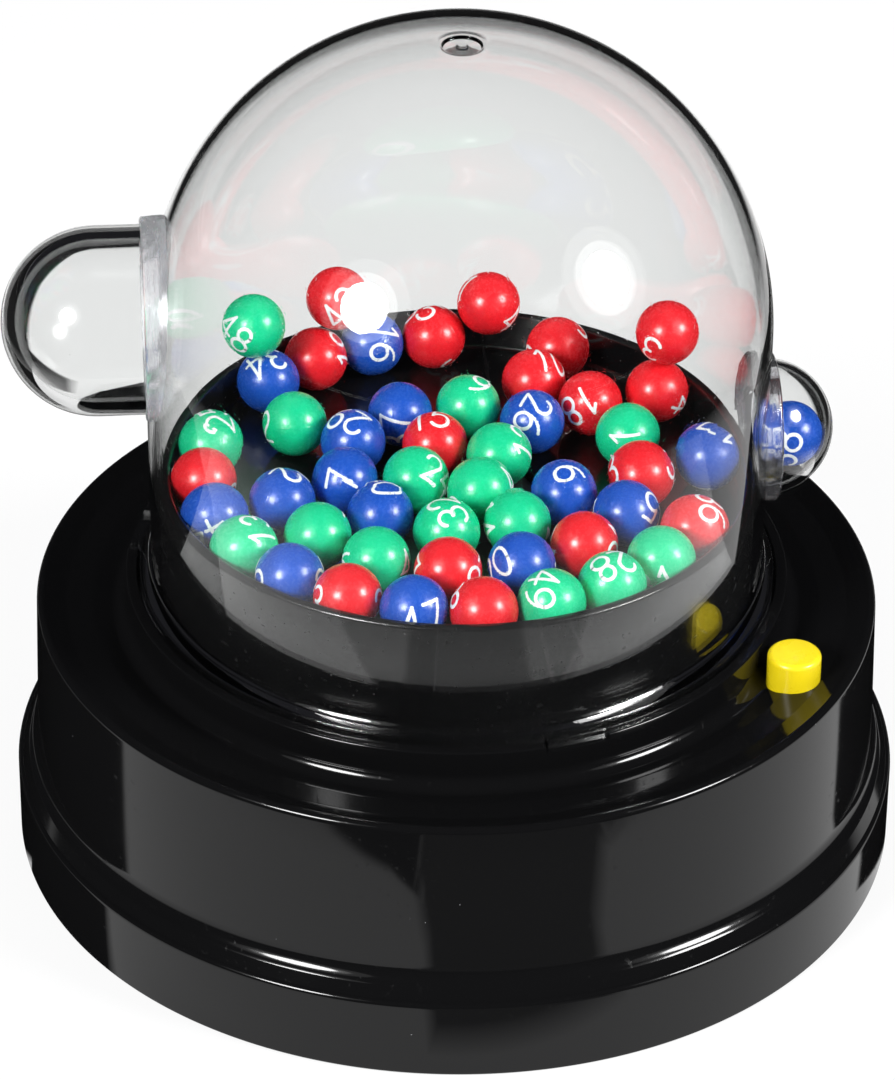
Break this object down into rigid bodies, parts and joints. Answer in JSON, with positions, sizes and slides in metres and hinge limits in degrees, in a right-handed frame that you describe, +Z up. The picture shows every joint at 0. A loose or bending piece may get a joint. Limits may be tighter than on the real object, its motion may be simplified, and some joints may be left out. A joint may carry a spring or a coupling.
{
  "type": "bingo ball machine",
  "caption": "Battery desktop ball-draw machine: round base with push button, tub of coloured numbered balls, motor stirrer and a lift-off clear dome with two side pockets.",
  "frame": {"origin": "middle of the foot ring's bottom edge, on the surface the machine stands on", "axes": "+Z up along the dome's axis, +X through the small pocket and -X through the big pocket; the button is between +X and -Y"},
  "size_m": [0.136, 0.136, 0.1346],
  "materials": {
    "black_gloss": "high gloss, moulded",
    "black_satin": "satin, moulded",
    "clear": "polished, clear",
    "frosted": "frosted by solvent glue",
    "button_yellow": "gloss, moulded",
    "ball_red": "gloss, printed with a white number",
    "ball_green": "gloss, printed with a white number",
    "ball_blue": "gloss, printed with a white number",
    "white_plastic": "moulded",
    "zinc": "zinc plated",
    "nickel": "nickel plated",
    "motor_steel": "drawn steel",
    "ferrite": "sintered",
    "brass": "bare",
    "cell_wrap": "printed plastic sleeve",
    "board": "solder mask",
    "wire_red": "insulation",
    "wire_black": "insulation",
    "wire_yellow": "insulation"
  },
  "bodies": {
    "base": {"base_housing": "black_gloss", "ball_tub": "black_gloss", "bottom_cover": "black_satin", "housing_screws": "zinc", "tub_screws": "zinc", "motor_can": "motor_steel", "motor_magnets": "ferrite", "motor_end_bell": "white_plastic", "motor_terminals": "brass", "motor_clamp": "motor_steel", "clamp_screws": "zinc", "battery_cells": "cell_wrap", "battery_springs": "nickel", "battery_plates": "nickel", "switch_board": "board", "board_screws": "zinc", "push_switch": "white_plastic", "button_spring": "nickel", "wire_red": "wire_red", "wire_black": "wire_black", "wire_yellow": "wire_yellow", "balls_red": "ball_red", "balls_green": "ball_green", "balls_blue": "ball_blue"},
    "battery_door": {"battery_door": "black_satin"},
    "button": {"button_cap": "button_yellow", "switch_stem": "white_plastic"},
    "rotor": {"motor_shaft": "motor_steel", "stirrer": "black_satin"},
    "dome": {"dome": "clear", "big_pocket": "clear", "big_pocket_ring": "frosted", "small_pocket": "clear", "small_pocket_ring": "frosted", "drawn_ball": "ball_blue"}
  },
  "joints": [
    {"name": "stirrer_spin", "type": "hinge", "parent": "base", "child": "rotor", "pos_m": [0, 0, 0.05], "axis": [0, 0, 1], "continuous": true},
    {"name": "button_press", "type": "slide", "parent": "base", "child": "button", "axis": [0, 0, -1], "range_m": [0, 0.0015], "stiffness_N_per_m": 600, "springref_m": -0.001, "deforming": ["button_spring"]},
    {"name": "dome_lift", "type": "slide", "parent": "base", "child": "dome", "axis": [0, 0, 1], "range_m": [0, 0.11]},
    {"name": "battery_door_swing", "type": "hinge", "parent": "base", "child": "battery_door", "pos_m": [-0.02715, 0, 0.0022], "axis": [0, 1, 0], "range_deg": [0, 80]}
  ]
}
